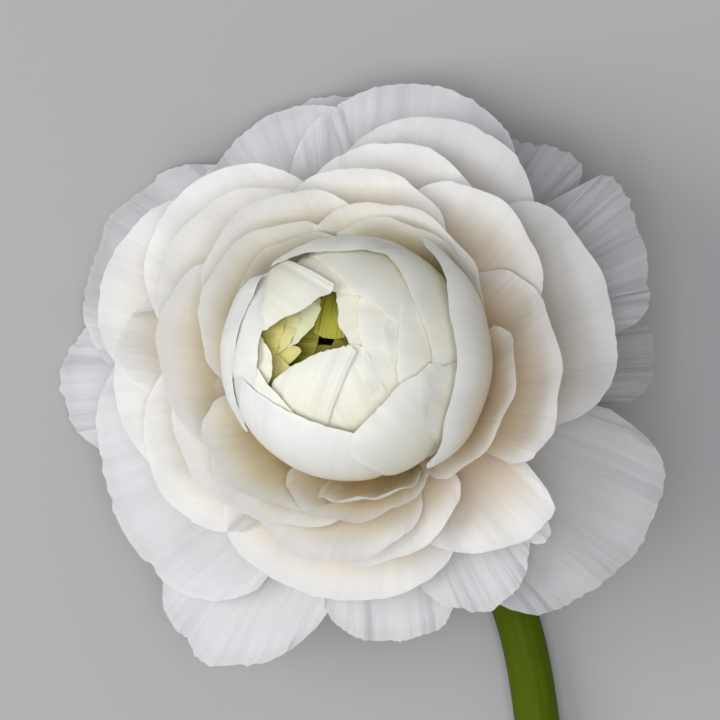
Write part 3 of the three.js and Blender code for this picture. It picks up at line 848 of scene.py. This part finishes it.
stem = {
    # the receptacle along the bloom's axis: height, radius
    "receptacle": [(15.2, 2.9), (5.0, 3.0), (-3.6, 3.2), (-5.0, 4.3), (-8.6, 3.5)],
    # the stalk over the table, from the bloom's foot: x, y, z, radius
    "stalk": [
        (3.2, -3.4, 9.6, 3.45),
        (8.2, -9.8, 5.2, 3.5),
        (15, -21.5, 3.75, 3.55),
        (22.5, -38.2, 3.6, 3.6),
        (27, -62, 3.75, 3.7),
        (31, -90, 3.9, 3.85),
        (33, -117, 4, 4.0),
        (33.5, -141, 4.1, 4.1),
    ],
    "around": 72,
    "along": 300,
    "ribs": 12.0,
    "ribDepth": 0.07,
    "ribTwist": 9.0,  # radians that the ribs' pattern winds on from end to end
    "lumps": (90.0, 2.0),  # scale and detail of the skin's unevenness
    "lowest": 0.05,  # of the skin above the table
    "hollowRadius": 2.3,
    "hollowDepth": 7.0,
}


def stemTree(values):
    tree, given, result = newGeometryTree("sweepStem", values)
    calc, vector, combine = mathIn(tree), vectorsIn(tree), combineIn(tree)
    path, bore = given.outputs["Geometry"], given.outputs["Hollow Radius"]
    tiny = 1e-6  # metres
    closing = 1000.0  # steep enough that only the first and the last row close
    sheet = flatSheet(tree, 1.0, given.outputs["Around"], given.outputs["Along"])
    split = ownPlace(tree)
    around, row = calc("ADD", split["X"], 0.5), calc("ADD", split["Y"], 0.5)

    # rows run down the outside to the cut end, then back up the wall of the hollow
    length = addNode(tree, "GeometryNodeCurveLength", {"Curve": path}).outputs[0]
    travelled = calc("MULTIPLY", row, calc("ADD", length, given.outputs["Hollow Depth"]))
    beyond = calc("MAXIMUM", calc("SUBTRACT", travelled, length), 0.0)
    inside = calc("GREATER_THAN", beyond, tiny)
    sample = addNode(tree, "GeometryNodeSampleCurve", {"Curves": path}, mode="LENGTH", data_type="FLOAT")
    feed(tree, sample.inputs["Value"], addNode(tree, "GeometryNodeInputRadius").outputs[0])
    feed(tree, sample.inputs["Length"], calc("SUBTRACT", travelled, calc("MULTIPLY", beyond, 2.0)))
    place, tangent, normal = (sample.outputs[name] for name in ("Position", "Tangent", "Normal"))
    aside = vector("CROSS_PRODUCT", tangent, normal)

    # the skin's radius, with ribs and lumps, or the hollow's
    turn = calc("MULTIPLY", around, 2 * math.pi)
    wind = calc("ADD", calc("MULTIPLY", turn, given.outputs["Ribs"]), calc("MULTIPLY", row, stem["ribTwist"]))
    lumps = calc("SUBTRACT", noiseAt(tree, place, *stem["lumps"]), 0.5)
    relief = calc("ADD", calc("MULTIPLY", calc("COSINE", wind), 0.5), lumps)
    skin = calc("MULTIPLY", relief, given.outputs["Rib Depth"])
    outside = calc("ADD", sample.outputs["Value"], skin)
    radius = calc("ADD", outside, calc("MULTIPLY", inside, calc("SUBTRACT", bore, outside)))
    fromEnd = calc("MINIMUM", row, calc("SUBTRACT", 1.0, row))
    ends = calc("MINIMUM", calc("MULTIPLY", fromEnd, closing), 1.0)
    radius = calc("MULTIPLY", radius, ends)
    sideways = calc("MULTIPLY", calc("COSINE", turn), radius)
    point = vector("ADD", place, vector("SCALE", normal, scale=sideways))
    point = vector("ADD", point, vector("SCALE", aside, scale=calc("MULTIPLY", calc("SINE", turn), radius)))
    spot = splitUp(tree, point)
    rested = combine(spot["X"], spot["Y"], calc("MAXIMUM", spot["Z"], stem["lowest"] * mm))

    kept = storeValue(tree, sheet["Mesh"], "stemMap", sheet["UV Map"], "FLOAT2", "CORNER")
    kept = storeValue(tree, kept, "cut", inside, "FLOAT")
    kept = storeValue(tree, kept, "downward", calc("DIVIDE", travelled, length), "FLOAT")
    closed = weldIn(tree, moveTo(tree, kept, "Position", rested), tiny)
    dress(tree, smoothIn(tree, closed), given.outputs["Stem Material"], result)
    return tree


stemSkin = {
    "roughness": 0.55,
    "plain": (0.07, 0.12, 0.004, 1),  # colour where the nodes aren't read
    "greens": [(0.0, (0.11, 0.16, 0.008)), (0.25, (0.068, 0.105, 0.001)), (1.0, (0.085, 0.13, 0.003))],
    "tones": [(0.3, (0.8, 0.84, 0.7)), (0.7, (1.1, 1.06, 1.1))],
    "flesh": [(0.3, (0.5, 0.58, 0.26)), (0.7, (0.66, 0.7, 0.42))],
    "streaks": (9.0, 5.0),  # scale and detail
    "streakStretch": 3.0,
    "streakShare": 0.7,
    "mottle": (260.0, 4.0),
    "mottleShare": 0.3,
    "bump": (0.00015, 0.8),  # depth in metres, strength
    "even": {
        "Specular IOR Level": 0.06,
        "Subsurface Weight": 0.15,
        "Subsurface Radius": (0.6, 1.0, 0.3),
        "Subsurface Scale": 0.001,  # metres
    },
}


def stemFinish():
    made, tree, shader = newMaterial("stemSkin", stemSkin["roughness"], stemSkin["plain"])
    calc, combine = mathIn(tree), combineIn(tree)
    split = splitUp(tree, addNode(tree, "ShaderNodeUVMap", uv_map="stemMap").outputs[0])
    turn = calc("MULTIPLY", split["X"], 2 * math.pi)  # the pattern closes on itself round the stem
    along = calc("MULTIPLY", split["Y"], stemSkin["streakStretch"])
    streak = noiseAt(tree, combine(calc("COSINE", turn), calc("SINE", turn), along), *stemSkin["streaks"])
    mottle = noiseAt(tree, addNode(tree, "ShaderNodeTexCoord").outputs["Object"], *stemSkin["mottle"])
    body = rampIn(tree, readShade(tree, "downward"), stemSkin["greens"])
    streaks = calc("MULTIPLY", streak, stemSkin["streakShare"])
    blend = calc("ADD", streaks, calc("MULTIPLY", mottle, stemSkin["mottleShare"]))
    green = blendColours(tree, "MULTIPLY", 1.0, body, rampIn(tree, blend, stemSkin["tones"]))
    flesh = rampIn(tree, mottle, stemSkin["flesh"])
    colour = blendColours(tree, "MIX", readShade(tree, "cut"), green, flesh)
    coat(tree, shader, colour, blend, stemSkin["bump"], stemSkin["even"])
    return made


def makeStem():
    data = bpy.data.curves.new("stemPath", "CURVE")
    data.dimensions = "3D"
    line = data.splines.new("BEZIER")
    places = [(bloomFrame @ Vector((0, 0, height * mm)), radius) for height, radius in stem["receptacle"]]
    foot = Vector((*bloom["foot"], 0))
    places += [((foot + Vector((x, y, z))) * mm, radius) for x, y, z, radius in stem["stalk"]]
    line.bezier_points.add(len(places) - 1)
    for knot, (place, radius) in zip(line.bezier_points, places):
        knot.co = place
        knot.radius = radius * mm
        knot.handle_left_type = knot.handle_right_type = "AUTO"
    path = bpy.data.objects.new("stemPath", data)
    bpy.context.scene.collection.objects.link(path)
    values = {
        "Around": stem["around"],
        "Along": stem["along"],
        "Ribs": stem["ribs"],
        "Rib Depth": stem["ribDepth"] * mm,
        "Hollow Radius": stem["hollowRadius"] * mm,
        "Hollow Depth": stem["hollowDepth"] * mm,
        "Stem Material": stemFinish(),
    }
    runTree(path, stemTree(values), values)
    placePiece(settle(path, "stemSkin"), "stem")


# the heart of the bloom: a head of carpels with stamens round it

goldenTurn = math.pi * (3 - math.sqrt(5))
carpels = {
    "count": 110,
    "base": 15.5,  # foot and top of the head along the bloom's axis
    "top": 25.0,
    "radius": 3.0,
    "lump": 0.5,  # radius of one carpel
    "lumpMesh": {"Segments": 8, "Rings": 7},
    "beak": 0.7,
    "hook": 0.25,
    "beakPower": 4.0,  # how sharply the beak is drawn out
    "upward": 0.35,  # how much the carpels point up
    "coreMesh": {"Segments": 24, "Rings": 16},
    "coreFloor": -0.05,  # share of the height where the core under them is cut flat
    "roughness": 0.5,
    "colours": ((0.16, 0.2, 0.02), (0.42, 0.46, 0.1)),
}
stamens = {
    "count": 44,
    "foot": 13.8,  # along the bloom's axis
    "footRadius": 4.3,
    "length": 11.0,
    "tilt": 8.0,  # degrees outward
    "spread": 7.0,  # degrees more or less
    "filament": 0.2,  # radius
    "filamentSides": 5,
    "filamentKnots": 5,
    "bend": 0.8,
    "anther": (0.5, 0.4, 1.1),  # half sizes
    "antherMesh": {"Segments": 8, "Rings": 6},
    "waist": (0.6, 0.6),  # width between an anther's two lobes, and what the lobes add
    "turns": (-0.1, 0.1),  # radians off the even spiral
    "rings": (0.85, 1.08),  # shares of the foot radius
    "lengths": (0.82, 1.1),  # shares of the length
    "seed": 5,
    "roughness": 0.8,
    "colours": ((0.45, 0.3, 0.04), (0.8, 0.6, 0.16)),
    "filamentColours": ((0.4, 0.42, 0.12), (0.62, 0.6, 0.24)),
}


def bloomMember(tree, geometry, material, result):  # stands the piece on the bloom's axis
    values = {"Geometry": geometry, "Translation": tuple(bloomPlace), "Rotation": tuple(bloomTurn.to_euler())}
    stood = addNode(tree, "GeometryNodeTransform", values).outputs[0]
    dress(tree, smoothIn(tree, stood), material, result)


def carpelTree(values):
    tree, given, result = newGeometryTree("packCarpels", values)
    calc, combine = mathIn(tree), combineIn(tree)
    index = addNode(tree, "GeometryNodeInputIndex").outputs[0]
    height, radius = given.outputs["Height"], given.outputs["Radius"]
    base, count, lump = (given.outputs[name] for name in ("Base", "Count", "Lump"))

    # one carpel: a small lump that is drawn out to a hooked beak
    ball = addNode(tree, "GeometryNodeMeshUVSphere", {**carpels["lumpMesh"], "Radius": lump})
    upper = calc("MAXIMUM", calc("DIVIDE", ownPlace(tree)["Z"], lump), 0.0)
    tall = calc("POWER", upper, carpels["beakPower"])
    hook, beak = (calc("MULTIPLY", tall, given.outputs[name]) for name in ("Hook", "Beak"))
    carpel = moveTo(tree, ball.outputs["Mesh"], "Offset", combine(hook, 0.0, beak))

    # packed in a spiral over the upper half of an egg
    share = calc("DIVIDE", calc("ADD", index, 0.5), count)
    wide = calc("MULTIPLY", radius, calc("SQRT", calc("SUBTRACT", 1.0, calc("MULTIPLY", share, share))))
    turn = calc("MULTIPLY", index, goldenTurn)
    x, y = calc("MULTIPLY", wide, calc("COSINE", turn)), calc("MULTIPLY", wide, calc("SINE", turn))
    place = combine(x, y, calc("ADD", base, calc("MULTIPLY", height, share)))
    points = addNode(tree, "GeometryNodePoints", {"Count": count, "Position": place})
    steep = calc("ADD", calc("DIVIDE", calc("MULTIPLY", share, radius), height), carpels["upward"])
    outward = combine(calc("DIVIDE", x, radius), calc("DIVIDE", y, radius), steep)
    facing = addNode(tree, "FunctionNodeAlignRotationToVector", {"Vector": outward}, axis="Z")
    values = {"Points": points.outputs[0], "Instance": carpel, "Rotation": facing.outputs[0]}
    spread = addNode(tree, "GeometryNodeInstanceOnPoints", values).outputs["Instances"]
    numbered = storeValue(tree, spread, "number", index, "FLOAT", "INSTANCE")

    # the core that they sit on
    egg = addNode(tree, "GeometryNodeMeshUVSphere", {**carpels["coreMesh"], "Radius": 1.0})
    spot = ownPlace(tree)
    up = calc("MULTIPLY", calc("MAXIMUM", spot["Z"], carpels["coreFloor"]), height)
    wideX, wideY = (calc("MULTIPLY", spot[axis], radius) for axis in ("X", "Y"))
    core = moveTo(tree, egg.outputs["Mesh"], "Position", combine(wideX, wideY, calc("ADD", base, up)))
    both = joinIn(tree, (numbered, core))
    bloomMember(tree, both, given.outputs["Carpel Material"], result)
    return tree


def stamenTree(values):
    tree, given, result = newGeometryTree("ringStamens", values)
    calc, vector, combine = mathIn(tree), vectorsIn(tree), combineIn(tree)
    index = addNode(tree, "GeometryNodeInputIndex").outputs[0]
    length, bend = given.outputs["Length"], given.outputs["Bend"]

    def chance(limits, step):
        made = addNode(tree, "FunctionNodeRandomValue", data_type="FLOAT")
        seed = calc("ADD", given.outputs["Seed"], step)
        for name, value in zip(("Min", "Max", "Seed"), (*limits, seed)):
            feed(tree, enabledInput(made, name), value)
        return next(socket for socket in made.outputs if socket.enabled)

    # one stamen: a thin bent filament with an anther of two lobes on its end
    line = addNode(tree, "GeometryNodeCurvePrimitiveLine", {"End": combine(0.0, 0.0, length)})
    values = {"Curve": line.outputs[0], "Count": stamens["filamentKnots"]}
    knots = addNode(tree, "GeometryNodeResampleCurve", values)
    share = calc("DIVIDE", ownPlace(tree)["Z"], length)
    sideways = combine(calc("MULTIPLY", calc("MULTIPLY", share, share), bend), 0.0, 0.0)
    bent = moveTo(tree, knots.outputs[0], "Offset", sideways)
    values = {"Resolution": stamens["filamentSides"], "Radius": given.outputs["Filament"]}
    outline = addNode(tree, "GeometryNodeCurvePrimitiveCircle", values)
    values = {"Curve": bent, "Profile Curve": outline.outputs[0], "Fill Caps": True}
    tube = addNode(tree, "GeometryNodeCurveToMesh", values).outputs[0]
    filament = storeValue(tree, tube, "anther", 0.0, "FLOAT")
    ball = addNode(tree, "GeometryNodeMeshUVSphere", {**stamens["antherMesh"], "Radius": 1.0})
    spot = ownPlace(tree)
    narrow, lobes = stamens["waist"]
    waist = calc("ADD", narrow, calc("MULTIPLY", calc("ABSOLUTE", spot["X"]), lobes))
    lobed = combine(spot["X"], calc("MULTIPLY", spot["Y"], waist), spot["Z"])
    sized = vector("MULTIPLY", lobed, given.outputs["Anther"])
    placed = vector("ADD", sized, combine(bend, 0.0, length))
    anther = moveTo(tree, ball.outputs["Mesh"], "Position", placed)
    anther = storeValue(tree, anther, "anther", 1.0, "FLOAT")
    stamen = joinIn(tree, (filament, anther))

    # set in a loose ring, each leaning and turning its own way
    turn = calc("ADD", calc("MULTIPLY", index, goldenTurn), chance(stamens["turns"], 0))
    ring = calc("MULTIPLY", given.outputs["Foot Radius"], chance(stamens["rings"], 1))
    x, y = calc("MULTIPLY", ring, calc("COSINE", turn)), calc("MULTIPLY", ring, calc("SINE", turn))
    values = {"Count": given.outputs["Count"], "Position": combine(x, y, given.outputs["Foot"])}
    points = addNode(tree, "GeometryNodePoints", values)
    swing = calc("MULTIPLY", given.outputs["Spread"], chance((-1.0, 1.0), 2))
    lean = combine(0.0, calc("ADD", given.outputs["Tilt"], swing), turn)
    values = {
        "Points": points.outputs[0],
        "Instance": stamen,
        "Rotation": addNode(tree, "FunctionNodeEulerToRotation", {"Euler": lean}).outputs[0],
        "Scale": combine(1.0, 1.0, chance(stamens["lengths"], 3)),
    }
    spread = addNode(tree, "GeometryNodeInstanceOnPoints", values).outputs["Instances"]
    numbered = storeValue(tree, spread, "number", index, "FLOAT", "INSTANCE")
    bloomMember(tree, numbered, given.outputs["Stamen Material"], result)
    return tree


specks = {
    "grain": (1800.0, 3.0),  # scale and detail
    "grainShare": 0.6,
    "ownShare": 0.4,  # of what differs from one member to the next
    "stops": (0.25, 0.75),
    "bump": (0.0001, 0.6),  # depth in metres, strength
    "even": {"Specular IOR Level": 0.3},
}


def speckledFinish(name, roughness, colours, filamentColours=None):
    made, tree, shader = newMaterial(name, roughness, (*colours[1], 1))
    calc = mathIn(tree)
    grain = noiseAt(tree, addNode(tree, "ShaderNodeTexCoord").outputs["Object"], *specks["grain"])
    number = {"W": readShade(tree, "number")}
    own = addNode(tree, "ShaderNodeTexWhiteNoise", number, noise_dimensions="1D").outputs["Value"]
    grains = calc("MULTIPLY", grain, specks["grainShare"])
    blend = calc("ADD", grains, calc("MULTIPLY", own, specks["ownShare"]))
    colour = rampIn(tree, blend, list(zip(specks["stops"], colours)))
    if filamentColours:
        pale = rampIn(tree, blend, list(zip(specks["stops"], filamentColours)))
        colour = blendColours(tree, "MIX", readShade(tree, "anther"), pale, colour)
    coat(tree, shader, colour, grain, specks["bump"], specks["even"])
    return made


def makeMember(name, tree, values, node):  # a lone point carries the tree
    mesh = bpy.data.meshes.new(name + "Seed")
    mesh.from_pydata([(0, 0, 0)], [], [])
    seed = bpy.data.objects.new(name + "Seed", mesh)
    bpy.context.scene.collection.objects.link(seed)
    runTree(seed, tree, values)
    placePiece(settle(seed, name), node)


def makeCarpels():
    values = {
        "Count": carpels["count"],
        "Base": carpels["base"] * mm,
        "Height": (carpels["top"] - carpels["base"]) * mm,
        "Carpel Material": speckledFinish("carpelSkin", carpels["roughness"], carpels["colours"]),
    }
    for label, key in (("Radius", "radius"), ("Lump", "lump"), ("Beak", "beak"), ("Hook", "hook")):
        values[label] = carpels[key] * mm
    makeMember("carpelHead", carpelTree(values), values, "carpels")


def makeStamens():
    colours, pale = stamens["colours"], stamens["filamentColours"]
    values = {
        "Count": stamens["count"],
        "Foot": stamens["foot"] * mm,
        "Foot Radius": stamens["footRadius"] * mm,
        "Length": stamens["length"] * mm,
        "Tilt": math.radians(stamens["tilt"]),
        "Spread": math.radians(stamens["spread"]),
        "Filament": stamens["filament"] * mm,
        "Bend": stamens["bend"] * mm,
        "Anther": tuple(size * mm for size in stamens["anther"]),
        "Seed": stamens["seed"],
        "Stamen Material": speckledFinish("stamenDust", stamens["roughness"], colours, pale),
    }
    makeMember("stamenRing", stamenTree(values), values, "stamens")


makeStem()
makeCarpels()
makeStamens()
